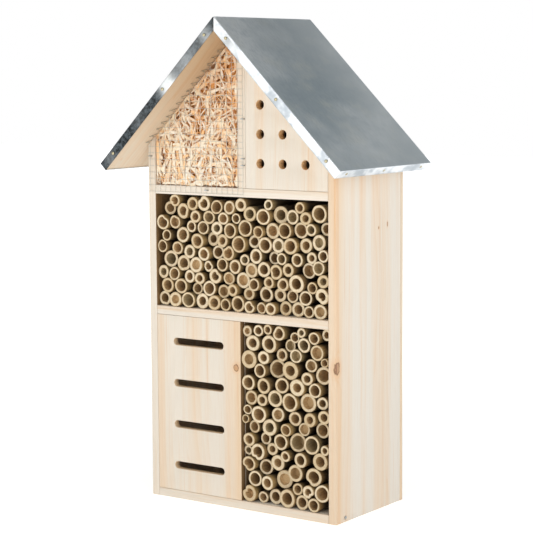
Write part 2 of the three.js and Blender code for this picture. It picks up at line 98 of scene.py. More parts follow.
SAME_POINT = 0.001 * MM  # closer points of a CAD mesh are joined

# Points round each tube, wire and nail
TUBE_SIDES = 28
WIRE_SIDES = 8
NAIL_SIDES = 20

# The camera, as the photograph saw the house
AZIMUTH = math.radians(35.35)
ELEVATION = math.radians(6.5)
ROLL = math.radians(-0.37)
DISTANCE = 1.7304
FOCAL_LENGTH = 118.19
AIM = 0.492  # share of the height that the camera is aimed at
AIM_OFFSET = (1.1 * MM, 0.8 * MM)


# ---- Camera, light and floor ----


def add_object(name, data):
    thing = bpy.data.objects.new(name, data)
    bpy.context.scene.collection.objects.link(thing)
    return thing


def direction(azimuth, elevation):
    """From the house towards a place round it. An azimuth of 0 is the front."""
    level = math.cos(elevation)
    return Vector((math.sin(azimuth) * level, -math.cos(azimuth) * level, math.sin(elevation)))


def make_camera():
    low, high = CAD_BOX
    target = Vector((AIM_OFFSET[0], AIM_OFFSET[1], low[2] + AIM * (high[2] - low[2])))
    back = direction(AZIMUTH, ELEVATION)
    level = Vector((math.cos(AZIMUTH), math.sin(AZIMUTH), 0))
    rise = back.cross(level)
    right = level * math.cos(ROLL) + rise * math.sin(ROLL)
    up = rise * math.cos(ROLL) - level * math.sin(ROLL)
    data = bpy.data.cameras.new("camera")
    data.lens = FOCAL_LENGTH
    data.clip_end = 20
    camera = add_object("camera", data)
    axes = Matrix((right, up, back)).transposed().to_4x4()
    camera.matrix_world = Matrix.Translation(target + back * DISTANCE) @ axes
    bpy.context.scene.camera = camera


def area_light(name, azimuth, elevation, distance, size, power):
    data = bpy.data.lights.new(name, "AREA")
    data.shape = "SQUARE"
    data.size = size
    data.energy = power
    light = add_object(name, data)
    way = direction(math.radians(azimuth), math.radians(elevation))
    light.location = way * distance + Vector((0, 0, CAD_BOX[1][2] / 2))
    light.rotation_euler = way.to_track_quat("Z", "Y").to_euler()


def make_world():
    """White round the horizon, and a darker studio ceiling for the metal roof to reflect."""
    world = bpy.data.worlds.new("studio")
    world.use_nodes = True
    bpy.context.scene.world = world
    nodes, links = world.node_tree.nodes, world.node_tree.links
    place = nodes.new("ShaderNodeTexCoord")
    parts = nodes.new("ShaderNodeSeparateXYZ")
    ramp = nodes.new("ShaderNodeValToRGB")
    horizon, ceiling = ramp.color_ramp.elements
    horizon.position = 0.2
    horizon.color = (1, 1, 1, 1)
    ceiling.position = 0.36
    ceiling.color = (0.27, 0.315, 0.335, 1)
    for height, grey in ((0.78, 0.34), (0.95, 0.8)):
        ramp.color_ramp.elements.new(height).color = (grey, grey, grey, 1)
    links.new(place.outputs["Generated"], parts.inputs[0])
    links.new(parts.outputs["Z"], ramp.inputs[0])
    links.new(ramp.outputs[0], nodes["Background"].inputs["Color"])


def make_studio():
    make_world()
    area_light("key", azimuth=-8, elevation=17, distance=2.3, size=1.3, power=10.5)
    area_light("fill", azimuth=70, elevation=24, distance=2.3, size=1.6, power=12.8)
    area_light("top", azimuth=20, elevation=72, distance=2.2, size=1.4, power=4)
    bpy.context.scene.view_settings.view_transform = "Standard"
    bpy.context.scene.view_settings.look = "None"


def make_floor():
    """White ground. It shines a little, more so far from the house, to match the even background."""
    mesh = bpy.data.meshes.new("floor")
    half = 6
    corners = [(-half, -half, 0), (half, -half, 0), (half, half, 0), (-half, half, 0)]
    mesh.from_pydata(corners, [], [(0, 1, 2, 3)])
    floor = add_object("floor", mesh)
    floor.location.z = CAD_BOX[0][2] - 0.2 * MM
    look = Look("pale_floor", roughness=0.9)
    place = look.place()
    speck = look.noise(place, 0.02, 3.0)
    colour = look.mix(speck, "F3F3F3", "F9F9F9")
    look.set("Emission Color", "FFFFFF")
    look.set("Emission Strength", look.between(look.length(place), 250, 1100, 0.45, 0.9))
    mesh.materials.append(look.finish(colour, speck, 0.05 * MM, 0.2))


# ---- Materials ----


class Look:
    """A Principled material under construction, with short names for the nodes that feed it.

    A value is a number, a vector, a colour as an sRGB hex text, or another node's output.
    """

    def __init__(self, name, roughness=0.5, metallic=0.0):
        self.material = bpy.data.materials.new(name)
        self.material.use_nodes = True
        self.tree = self.material.node_tree
        self.shader = self.tree.nodes["Principled BSDF"]
        self.set("Roughness", roughness)
        self.set("Metallic", metallic)

    def set(self, socket, value):
        self.feed(self.shader.inputs[socket], value)

    def feed(self, socket, value):
        if isinstance(value, bpy.types.NodeSocket):
            self.tree.links.new(value, socket)
        elif isinstance(value, str):
            socket.default_value = rgb(value)
        else:
            socket.default_value = value

    def add(self, kind, inputs=(), **settings):
        node = self.tree.nodes.new("ShaderNode" + kind)
        for key, value in settings.items():
            setattr(node, key, value)
        for socket, value in dict(inputs).items():
            self.feed(node.inputs[socket], value)
        return node

    def place(self):
        """Where the surface is in the frame, in millimetres."""
        point = self.add("TexCoord").outputs["Object"]
        return self.scale(point, (1 / MM, 1 / MM, 1 / MM))

    def scale(self, vector, factors, move=(0, 0, 0), turn=(0, 0, 0)):
        inputs = {"Vector": vector, "Location": move, "Rotation": turn, "Scale": factors}
        return self.add("Mapping", inputs).outputs[0]

    def parts(self, vector):
        return self.add("SeparateXYZ", {0: vector}).outputs

    def length(self, vector):
        return self.add("VectorMath", {0: vector}, operation="LENGTH").outputs["Value"]

    def noise(self, vector, scale, detail=3.0, roughness=0.55, distortion=0.0):
        inputs = {"Vector": vector, "Scale": scale, "Detail": detail}
        inputs |= {"Roughness": roughness, "Distortion": distortion}
        return self.add("TexNoise", inputs).outputs["Fac"]

    def grain(self, vector, factors, detail=3.0, roughness=0.6):
        """Noise drawn out differently in each direction."""
        return self.noise(self.scale(vector, factors), 1.0, detail, roughness)

    def math(self, operation, a, b=0.0, clamp=False):
        return self.add("Math", {0: a, 1: b}, operation=operation, use_clamp=clamp).outputs[0]

    def between(self, value, low, high, out_low=0.0, out_high=1.0):
        """out_low to out_high, smoothly, as value goes from low to high."""
        inputs = {"Value": value, "From Min": low, "From Max": high, "To Min": out_low, "To Max": out_high}
        return self.add("MapRange", inputs, interpolation_type="SMOOTHSTEP").outputs[0]

    def mix(self, factor, a, b, blend="MIX"):
        node = self.add("Mix", data_type="RGBA", blend_type=blend)
        self.feed(node.inputs["Factor"], factor)
        colours = [socket for socket in node.inputs if socket.type == "RGBA"]
        self.feed(colours[0], a)
        self.feed(colours[1], b)
        return next(socket for socket in node.outputs if socket.type == "RGBA")

    def tinted(self, colour, tint, value, low, high, amount=1.0):
        """The colour, which takes on that amount of the tint as value goes from low to high."""
        return self.mix(self.between(value, low, high, 0.0, amount), colour, tint)

    def attribute(self, name):
        return self.add("Attribute", attribute_name=name).outputs

    def own_shades(self):
        """Three random numbers that each tube or shaving carries as a colour."""
        return self.add("SeparateColor", {0: self.attribute("own")["Color"]}).outputs

    def finish(self, colour, height, depth, strength):
        """The material, with its colour and with bumps of that depth."""
        inputs = {"Height": height, "Distance": depth, "Strength": strength}
        self.set("Normal", self.add("Bump", inputs).outputs[0])
        self.set("Base Color", colour)
        return self.material


def rgb(text):
    """Linear colour of an sRGB hex value."""
    def linear(channel):
        return channel / 12.92 if channel <= 0.04045 else ((channel + 0.055) / 1.055) ** 2.4
    return tuple(linear(int(text[i:i + 2], 16) / 255) for i in (0, 2, 4)) + (1,)


UPRIGHT = (0, 0, 0)
ACROSS = (0, math.pi / 2, 0)
DOWN_LEFT_SLOPE = (0, -math.pi / 4, 0)
DOWN_RIGHT_SLOPE = (0, math.pi / 4, 0)
KNOT_HEART = ("80553A", "BD926C")
HOLLOW_HEART = ("DDB88E", "BC8E62")
IVORY = "E4DACB"


def knot_fields(look, place, knots):
    """How far the growth rings swing round the knots, and where the knots and their halos are."""
    swirl, knot, halo = 0.0, 0.0, 0.0
    wobble = look.noise(place, 0.25, 2.0)
    for centre, radius, height in knots:
        squeeze = 1 / height
        move = (-centre[0], -centre[1], -centre[2] * squeeze)
        away = look.length(look.scale(place, (1, 1, squeeze), move=move))
        away = look.math("ADD", away, look.between(wobble, 0.3, 0.7, -radius * 0.15, radius * 0.15))
        swirl = look.math("ADD", swirl, look.between(away, 0.0, radius * 5, radius * 1.8, 0.0))
        halo = look.math("MAXIMUM", halo, look.between(away, radius, radius * 2.8, 1.0, 0.0))
        knot = look.math("MAXIMUM", knot, look.between(away, radius * 0.7, radius * 1.25, 1.0, 0.0))
    return swirl, knot, halo


def late_wood(look, along, swirl):
    """1 at the dark end of each growth ring, less before it. The rings waver and swing round knots."""
    ring_width = 5.5
    drift = look.grain(along, (0.012, 0.012, 0.0022), 2.0, 0.55)
    waver = look.grain(along, (0.06, 0.06, 0.004), 2.0, 0.55)
    parts = look.parts(along)
    rings = look.math("ADD", parts["X"], look.math("MULTIPLY", parts["Y"], 0.8))
    rings = look.math("ADD", rings, look.math("MULTIPLY", drift, 60.0))
    rings = look.math("ADD", rings, look.math("MULTIPLY", waver, 14.0))
    rings = look.math("ADD", rings, swirl)
    across_ring = look.math("FRACT", look.math("DIVIDE", rings, ring_width))
    return look.math("POWER", across_ring, 4.0)


def with_knots(look, colour, knot, halo, streak, heart):
    """The wood's colour with its knots: a tan halo, a streaky heart and a dark rim."""
    colour = look.mix(look.math("MULTIPLY", halo, 0.5), colour, "DBAE80")
    core = look.tinted(heart[0], heart[1], streak, 0.4, 0.6)
    colour = look.mix(look.math("MULTIPLY", knot, 0.85), colour, core)
    rim = look.math("MULTIPLY", knot, look.math("SUBTRACT", 1.0, knot))
    return look.mix(look.math("MULTIPLY", rim, 3.4, clamp=True), colour, "7A5234")


def wood(name, turn, seed, pale="DED4C5", tan="D8B890", warmth=0.5, knots=(), heart=KNOT_HEART,
         shade=None):
    """Planed softwood. Its grain runs along Z after the turn.

    Knots are (place in mm, radius in mm, height as a multiple of the width). The shade is painted shade,
    (axis, start, end, tint): the wood takes on the tint gradually from start to end, both in mm.
    """
    look = Look(name)
    place = look.place()
    shift = Vector((seed * 37.1, seed * 53.7, seed * 91.3))
    along = look.scale(place, (1, 1, 1), move=shift, turn=turn)
    swirl, knot, halo = knot_fields(look, place, knots)
    late = late_wood(look, along, swirl)
    fibre = look.grain(along, (2.2, 2.2, 0.045), 4.0, 0.65)
    streak = look.grain(along, (0.3, 0.3, 0.004), 3.0, 0.65)
    band = look.grain(along, (0.07, 0.07, 0.0016), 2.0, 0.5)
    colour = look.tinted(pale, "E0C4A4", band, 0.42, 0.66, warmth)
    lines = look.math("MULTIPLY", late, look.between(band, 0.35, 0.65, 0.05, 0.38))
    colour = look.mix(lines, colour, tan)
    colour = look.tinted(colour, "D4AC80", streak, 0.56, 0.78, 0.5)
    colour = look.tinted(colour, "C8A680", fibre, 0.4, 0.8, 0.2)
    # Painted shade, brought in along one axis
    if shade:
        axis, start, end, tint = shade
        amount = look.between(look.parts(place)[axis], start, end)
        colour = look.mix(amount, colour, tint, blend="MULTIPLY")
    if knots:
        colour = with_knots(look, colour, knot, halo, streak, heart)
    look.set("Roughness", look.between(fibre, 0.2, 0.8, 0.52, 0.74))
    height = look.math("ADD", look.math("MULTIPLY", fibre, 0.6), look.math("MULTIPLY", late, 0.4))
    return look.finish(colour, height, 0.12 * MM, 0.5)


def shaded_wood(name):
    """Brown face of a board beside the bamboo, in painted shade."""
    return wood(name, UPRIGHT, 13, pale="775830", tan="5C4122", warmth=0.1)


def cut_wood(name, dark, light):
    """Rough, darker inside of a sawn or drilled opening."""
    look = Look(name, roughness=0.85)
    rough = look.noise(look.place(), 1.3, 3.0, 0.65)
    colour = look.mix(rough, dark, light)
    return look.finish(colour, rough, 0.25 * MM, 0.7)


def slope_zinc(look, place, clouds, smudge):
    """Colour of the roof's slopes: clouded, smudged and grained, with painted reflection brighter low down
    and to the rear and darker near the ridge.
    """
    _, depth, height = look.parts(place)
    grain = look.grain(place, (0.16, 0.5, 0.16), 4.0, 0.65)
    colour = look.tinted("C2CCD1", "FAFCFC", clouds, 0.35, 0.65)
    colour = look.tinted(colour, "ECECE4", smudge, 0.45, 0.75, 0.5)
    colour = look.tinted(colour, "A9B6BF", smudge, 0.45, 0.25, 0.35)
    colour = look.tinted(colour, "98A5AC", grain, 0.4, 0.7, 0.26)
    # Painted reflection: brighter low down, darker near the ridge and brighter to the rear
    colour = look.mix(look.between(height, 330, 400, 0.45, 0.05), colour, "FBFDFD")
    colour = look.tinted(colour, "A8ADAF", height, 400, 470, 0.3)
    return look.tinted(colour, "FBFDFD", depth, -20, 80, 0.55)


def galvanised():
    """Zinc-coated sheet. Its tone is 0.5 on the slopes, near 0 in painted shade and near 1 in painted
    reflection.
    """
    look = Look("galvanised_sheet", metallic=1.0)
    place = look.place()
    tone = look.attribute("tone")["Fac"]
    clouds = look.grain(place, (0.011, 0.009, 0.011), 3.0, 0.55)
    smudge = look.grain(place, (0.05, 0.03, 0.05))
    spangle = look.noise(place, 0.35, 3.0, 0.6)
    # Painted reflection: the nearly white folded edges, greyer where smudged
    bright = look.tinted("EDF0F2", "98A3AB", smudge, 0.42, 0.66, 0.7)
    # Painted shade: the darker reflection on the left front flange, mottled by the spangle
    painted_shade_zinc = look.tinted("26292A", "565D61", spangle, 0.35, 0.65)
    colour = look.tinted(slope_zinc(look, place, clouds, smudge), bright, tone, 0.5, 0.9)
    colour = look.tinted(colour, painted_shade_zinc, tone, 0.5, 0.05)
    matt = look.between(tone, 0.5, 0.9, 0.0, 0.18)
    look.set("Roughness", look.math("ADD", look.between(clouds, 0.3, 0.7, 0.3, 0.4), matt))
    return look.finish(colour, spangle, 0.02 * MM, 0.25)


def mottled_metal(name, dark, light, scale, smooth, rough, metallic=1.0, depth=0.02 * MM):
    """Metal in two colours. Its roughness varies from smooth to rough."""
    look = Look(name, metallic=metallic)
    mottle = look.noise(look.place(), scale, 3.0, 0.6)
    colour = look.mix(mottle, dark, light)
    look.set("Roughness", look.between(mottle, 0.3, 0.7, smooth, rough))
    return look.finish(colour, mottle, depth, 0.3)


def bamboo_skin():
    """Tan outsides of the tubes, with painted shade that darkens them the deeper they are between their
    neighbours.
    """
    look = Look("bamboo_skin")
    place = look.place()
    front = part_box("left_side_board")[0].y / MM
    depth = look.math("SUBTRACT", look.parts(place)["Y"], front)
    own = look.own_shades()
    fibre = look.grain(place, (1.6, 0.05, 1.6), 4.0, 0.65)
    blotch = look.grain(place, (0.12, 0.05, 0.12))
    colour = look.mix(own["Red"], "B5955F", "8F7046")
    colour = look.tinted(colour, "817450", own["Green"], 0.6, 0.95, 0.6)
    colour = look.tinted(colour, "7C6443", fibre, 0.35, 0.7, 0.4)
    colour = look.tinted(colour, "6A5236", blotch, 0.5, 0.75, 0.35)
    # Painted shade between the tubes, deepening over 13 mm behind the front
    colour = look.tinted(colour, "302416", depth, 0, 13, 0.94)
    look.set("Roughness", look.between(fibre, 0.3, 0.7, 0.5, 0.7))
    return look.finish(colour, fibre, 0.1 * MM, 0.6)


def bamboo_cut():
    look = Look("bamboo_cut_end", roughness=0.8)
    place = look.place()
    dots = look.noise(place, 2.2, 2.0, 0.6)
    broad = look.noise(place, 0.35, 2.0, 0.5)
    colour = look.mix(look.own_shades()["Blue"], "ECDCBE", "D0BA94")
    colour = look.tinted(colour, "AA8F69", dots, 0.42, 0.66, 0.5)
    colour = look.tinted(colour, "C2A377", broad, 0.42, 0.7, 0.4)
    edge = look.math("MULTIPLY", look.attribute("rim")["Fac"], 0.65)
    colour = look.mix(edge, colour, "9A7D52")
    return look.finish(colour, dots, 0.2 * MM, 0.7)


def bamboo_bore():
    look = Look("bamboo_bore", roughness=0.85)
    own = look.own_shades()
    fibre = look.grain(look.place(), (1.1, 0.12, 1.1))
    colour = look.mix(own["Red"], "CFAE7F", "AA8A5E")
    colour = look.tinted(colour, "B2A37E", own["Green"], 0.8, 0.92, 0.65)
    colour = look.tinted(colour, "7F6544", fibre, 0.35, 0.7, 0.45)
    return look.finish(colour, fibre, 0.12 * MM, 0.5)


def shavings():
    """Ivory at the front of the packing, orange deeper in and near the top: painted light passed through
    wood and painted shade.
    """
    look = Look("wood_wool", roughness=0.75)
    place = look.place()
    own = look.own_shades()
    fibre = look.grain(place, (1.5, 1.5, 0.6))
    patch = look.noise(place, 0.09, 2.0)
    colour = look.mix(own["Red"], "F1E6D4", "ECD8B7")
    colour = look.tinted(colour, "F2BE80", own["Blue"], 0.66, 0.96, 0.85)
    deep = look.math("ADD", own["Green"], look.between(patch, 0.35, 0.65, -0.12, 0.12))
    colour = look.tinted(colour, "DE9C52", deep, 0.05, 0.45)
    colour = look.tinted(colour, "E3B17A", fibre, 0.5, 0.85, 0.3)
    # A faint glow, painted light that stands for light passed through the shavings
    look.set("Emission Color", colour)
    look.set("Emission Strength", 0.08)
    return look.finish(colour, fibre, 0.08 * MM, 0.5)


def deep_shavings():
    look = Look("wood_wool_depth", roughness=0.9)
    tangle = look.noise(look.place(), 0.25, 4.0, 0.7, 1.5)
    # Painted shade: the packing deep behind the shavings is dark orange
    colour = look.tinted("8A5724", "DEA35C", tangle, 0.35, 0.65)
    return look.finish(colour, tangle, 2.0 * MM, 0.8)


# ---- Building pieces ----


def finish_piece(piece, slot, *nodes):
    """Rides a piece on the one body, and lets it stand for its CAD nodes."""
    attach(piece, "root")
    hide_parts(*nodes)


def object_from(bm, name, materials, smooth_angle=35):
    mesh = bpy.data.meshes.new(name)
    bmesh.ops.recalc_face_normals(bm, faces=bm.faces)
    bm.to_mesh(mesh)
    bm.free()
    for material in materials:
        mesh.materials.append(material)
    mesh.shade_smooth()
    mesh.set_sharp_from_angle(angle=math.radians(smooth_angle))
    return add_object(name, mesh)


def evaluated(piece):
    bpy.context.view_layer.update()
    return piece.evaluated_get(bpy.context.evaluated_depsgraph_get())


def cad_bmesh(node):
    """The node's mesh with its vertices joined."""
    bm = bmesh.new()
    bm.from_mesh(frame["nodes"][node].data)
    bmesh.ops.remove_doubles(bm, verts=bm.verts, dist=SAME_POINT)
    return bm


def spaced(start, stop, steps):
    return [start + (stop - start) * i / steps for i in range(steps + 1)]


def turns(steps):
    return [math.tau * i / steps for i in range(steps)]


def add_strip(bm, first, second, material=0):
    """Faces from one loop of points to the next. A loop of one point is the tip of a cone."""
    for i in range(max(len(first), len(second))):
        places = ((first, i), (first, i + 1), (second, i + 1), (second, i))
        corners = dict.fromkeys(loop[k % len(loop)] for loop, k in places)
        bm.faces.new(list(corners)).material_index = material


def add_bar(bm, loops, material=0):
    """Closed bar through loops of points."""
    for first, second in zip(loops, loops[1:]):
        add_strip(bm, first, second, material)
    bm.faces.new(loops[0]).material_index = material
    bm.faces.new(loops[-1][::-1]).material_index = material


def mark_beside_tubes(bm, storey):
    """Gives the face towards +X its second material where it is beside a storey's tubes."""
    floor, ceiling = storey_room(storey)[2:]
    for z in (floor, ceiling):
        parts = [*bm.verts, *bm.edges, *bm.faces]
        bmesh.ops.bisect_plane(bm, geom=parts, plane_co=(0, 0, z), plane_no=(0, 0, 1))
    for face in bm.faces:
        beside_tubes = floor < face.calc_center_median().z < ceiling
        face.material_index = int(face.normal.x > 0.99 and beside_tubes)


def rounded_board(node, name, materials, slot, rounding=BOARD_EDGE):
    """The board with its arrises eased. A second material is for its face beside the tubes."""
    bm = cad_bmesh(node)
    bmesh.ops.dissolve_limit(bm, angle_limit=math.radians(0.5), verts=bm.verts, edges=bm.edges)
    sharp = [edge for edge in bm.edges if edge.calc_face_angle(0) > math.radians(30)]
    bevel = {"segments": 3, "profile": 0.5, "affect": "EDGES", "clamp_overlap": True}
    bmesh.ops.bevel(bm, geom=sharp, offset=rounding, **bevel)
    bmesh.ops.triangulate(bm, faces=[face for face in bm.faces if len(face.verts) > 4])
    if len(materials) > 1:
        mark_beside_tubes(bm, "upper" if node == "left_side_board" else "lower")
    finish_piece(object_from(bm, name, materials), slot, node)


def right_side_wood():
    """The side that the photograph shows whole, with its knots where they are there."""
    low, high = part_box("right_side_board")
    x, y, z = high.x / MM, low.y / MM, high.z / MM
    knots = [
        ((x, y + 2.5, z * 0.412), 3.4, 1.6),
        ((x, y + 92, z * 0.768), 0.8, 2.6),
        ((x, y + 76, z * 0.761), 0.8, 1.4),
    ]
    # Painted shade: warmer and a little darker towards the front edge
    towards_front = ("Y", y + 26, y, "FFEFDC")
    return wood("fir_right_side", UPRIGHT, 2, pale="DED6CA", knots=knots, shade=towards_front)


def roof_wood(name, turn, seed, **details):
    return wood(name, turn, seed, pale="DCCDB7", tan="CDAA84", **details)


def left_roof_wood():
    """The roof board seen from below, with a small knot near its front and eave."""
    x, y, z = [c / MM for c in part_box("roof_board_left")[0]]
    knot = ((x + 14, y + 12, z + 12), 1.3, 1.6)
    # Painted shade: darker and warmer towards the ridge
    towards_ridge = ("X", x + 15, -15, "DFCEB9")
    return roof_wood("fir_roof_left", DOWN_LEFT_SLOPE, 8, knots=[knot], shade=towards_ridge)


def make_boards():
    # Painted shade for the boards' faces beside the tubes
    inside = shaded_wood("fir_inside")
    boards = [
        ("left_side_board", "left_side", wood("fir_left_side", UPRIGHT, 1), inside),
        ("right_side_board", "right_side", right_side_wood()),
        ("bottom_board", "bottom", wood("fir_bottom", ACROSS, 3)),
        ("lower_shelf", "lower_shelf_board", wood("fir_lower_shelf", ACROSS, 4)),
        ("upper_shelf", "upper_shelf_board", wood("fir_upper_shelf", ACROSS, 5, pale=IVORY)),
        ("gable_divider", "gable_upright", wood("fir_gable_divider", UPRIGHT, 6, pale=IVORY)),
        ("lower_divider", "lower_upright", wood("fir_lower_divider", UPRIGHT, 7), inside),
        ("roof_board_left", "roof_board_left_side", left_roof_wood()),
        ("roof_board_right", "roof_board_right_side", roof_wood("fir_roof_right", DOWN_RIGHT_SLOPE, 9)),
    ]
    for node, name, *materials in boards:
        rounded_board(node, name, materials, "fir")
    plywood = wood("back_plywood", UPRIGHT, 10, pale="DACAB3", tan="C9A57B", warmth=0.8)
    rounded_board("back_board", "back_panel", [plywood], "plywood", PANEL_EDGE)


def panel_curve(name, loops, thickness):
    """Flat filled outline with holes, given its thickness and rounded arrises."""
    curve = bpy.data.curves.new(name, "CURVE")
    curve.dimensions = "2D"
    curve.fill_mode = "BOTH"
    curve.extrude = thickness / 2 - PANEL_EDGE
    curve.bevel_depth = PANEL_EDGE
    curve.bevel_resolution = 2
    curve.offset = -PANEL_EDGE
    for loop in loops:
        spline = curve.splines.new("POLY")
        spline.points.add(len(loop) - 1)
        for point, (x, z) in zip(spline.points, loop):
            point.co = (x, z, 0, 1)
        spline.use_cyclic_u = True
    return curve


def upright_bmesh(curve, middle):
    """The curve's mesh, stood up in X and Z with its middle at that Y."""
    flat = add_object(curve.name + "_flat", curve)
    flat.matrix_world = Matrix.Translation((0, middle, 0)) @ Matrix.Rotation(math.pi / 2, 4, "X")
    bm = bmesh.new()
    bm.from_mesh(evaluated(flat).to_mesh())
    bm.transform(flat.matrix_world)
    bpy.data.objects.remove(flat)
    bmesh.ops.remove_doubles(bm, verts=bm.verts, dist=SAME_POINT)
    bmesh.ops.recalc_face_normals(bm, faces=bm.faces)
    return bm


def panel_with_holes(name, node, outline, holes, materials):
    """Flat panel with rounded arrises. Outline and holes are lists of (x, z).

    The materials are for its faces, its openings and, if there is a third, its edge towards +X.
    """
    low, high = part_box(node)
    bm = upright_bmesh(panel_curve(name, [outline, *holes], high.y - low.y), (low.y + high.y) / 2)
    for face in bm.faces:
        middle = face.calc_center_median()
        if abs(face.normal.y) < 0.6 and any(holds(loop, middle) for loop in holes):
            face.material_index = 1
        elif face.normal.x > 0.9 and len(materials) > 2:
            face.material_index = 2
    finish_piece(object_from(bm, name, materials, 25), "fir_panel", node)


def holds(loop, point):
    """Whether a point is within the box round a loop of (x, z), or just outside it."""
    spare = 0.5 * MM
    xs, zs = zip(*loop)
    across = min(xs) - spare < point.x < max(xs) + spare
    return across and min(zs) - spare < point.z < max(zs) + spare


def openings(prefix):
    """Middles (x, z) of the record's openings whose names start with the prefix."""
    found = []
    for opening in frame["record"]["physics"]["openings"]:
        if opening["name"].startswith(prefix):
            low, high = opening["box_m"]
            found.append(((low[0] + high[0]) / 2, (low[2] + high[2]) / 2))
    return found


def arc(x, z, radius, start, end, steps):
    return [(x + radius * math.cos(a), z + radius * math.sin(a)) for a in spaced(start, end, steps)]


def make_drilled_panel():
    low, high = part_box("drilled_panel")
    fall = high.x - low.x
    outline = [(low.x, low.z), (high.x, low.z), (high.x, high.z - fall), (low.x, high.z)]
    holes = [arc(x, z, HOLE_RADIUS, 0, math.tau, 40)[:-1] for x, z in openings("drilled_hole")]
    materials = [wood("fir_drilled_panel", UPRIGHT, 11), cut_wood("drilled_holes", "D8AC76", "F4D3A4")]
    panel_with_holes("gable_panel", "drilled_panel", outline, holes, materials)


def slot_outline(x, z):
    reach = SLOT_LENGTH / 2 - SLOT_RADIUS
    right_end = arc(x + reach, z, SLOT_RADIUS, -math.pi / 2, math.pi / 2, 12)
    left_end = arc(x - reach, z, SLOT_RADIUS, math.pi / 2, 1.5 * math.pi, 12)
    return right_end + left_end


def make_slot_panel():
    low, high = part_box("slot_panel")
    outline = [(low.x, low.z), (high.x, low.z), (high.x, high.z), (low.x, high.z)]
    slots = [slot_outline(x, z) for x, z in openings("slot_")]
    edge = high.x / MM
    details = {
        "knots": [((edge - 5.4, low.y / MM, 140.6), 2.7, 1.15)],
        "heart": HOLLOW_HEART,
        # Painted shade towards the panel's right edge
        "shade": ("X", edge - 18, edge - 2, "FFEDD8"),
    }
    face = wood("fir_slot_panel", UPRIGHT, 14, warmth=0.7, **details)
    # The third material paints shade on the panel's edge towards +X
    materials = [face, cut_wood("sawn_slots", "CFAF86", "EBD5B4"), shaded_wood("fir_panel_edge")]
    panel_with_holes("slotted_panel", "slot_panel", outline, slots, materials)


# ---- Roof sheet ----


def fold_section():
    """A fold's section: how far each point is past the flat sheet's outer edge, and how far below it."""
    quarter = spaced(0, math.pi / 2, 4)
    bend = [(FOLD_RADIUS * (math.sin(a) - 1), FOLD_RADIUS * (1 - math.cos(a))) for a in quarter]
    return bend + [(0.0, below) for below in spaced(FOLD_RADIUS, FLANGE, 6)[1:]]


def slope_point(side, along, below, y):
    """Point of the roof: along down the slope from the ridge, below square to it; side is -1 or 1."""
    ridge = CAD_BOX[1].z
    return Vector((side * (along - below) / ROOT_2, y, ridge - (along + below) / ROOT_2))


def flange_nails(edge, side):
    """Middles of the three nails in the front or eave flange of one side."""
    boxes = [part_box(f"roof_nail_{edge}_{SIDES[side]}_{i}") for i in (1, 2, 3)]
    return [(low + high) / 2 for low, high in boxes]


def down_slope(point):
    """How far down the slope from the ridge a point is."""
    return (abs(point.x) + CAD_BOX[1].z - point.z) / ROOT_2


def bell(value, middle, width):
    return math.exp(-(((value - middle) / width) ** 2))


def dent(place, nails):
    """How far the nails in a flange press it in, at a place along it."""
    return sum(bell(place, nail, 3 * MM) for nail in nails) * NAIL_DENT


def left_flange_painted_tone(along, nails):
    """Tone of the left front flange: dark in painted shade, and brighter near its nails by painted
    reflection.
    """
    tone = 0.19 + 0.08 * noise.noise(Vector((along * 40, 0, 0.5)))
    tone -= 0.1 * min(1.0, max(0.0, (along - nails[1]) / (15 * MM)))
    tone += 0.1 * bell(along, nails[0], 7 * MM) + 0.28 * bell(along, nails[1] - 7 * MM, 9 * MM)
    tone += 0.08 * bell(along, nails[2] + 8 * MM, 9 * MM) - 0.15 * bell(along, 0, 9 * MM)
    return max(0.03, tone)


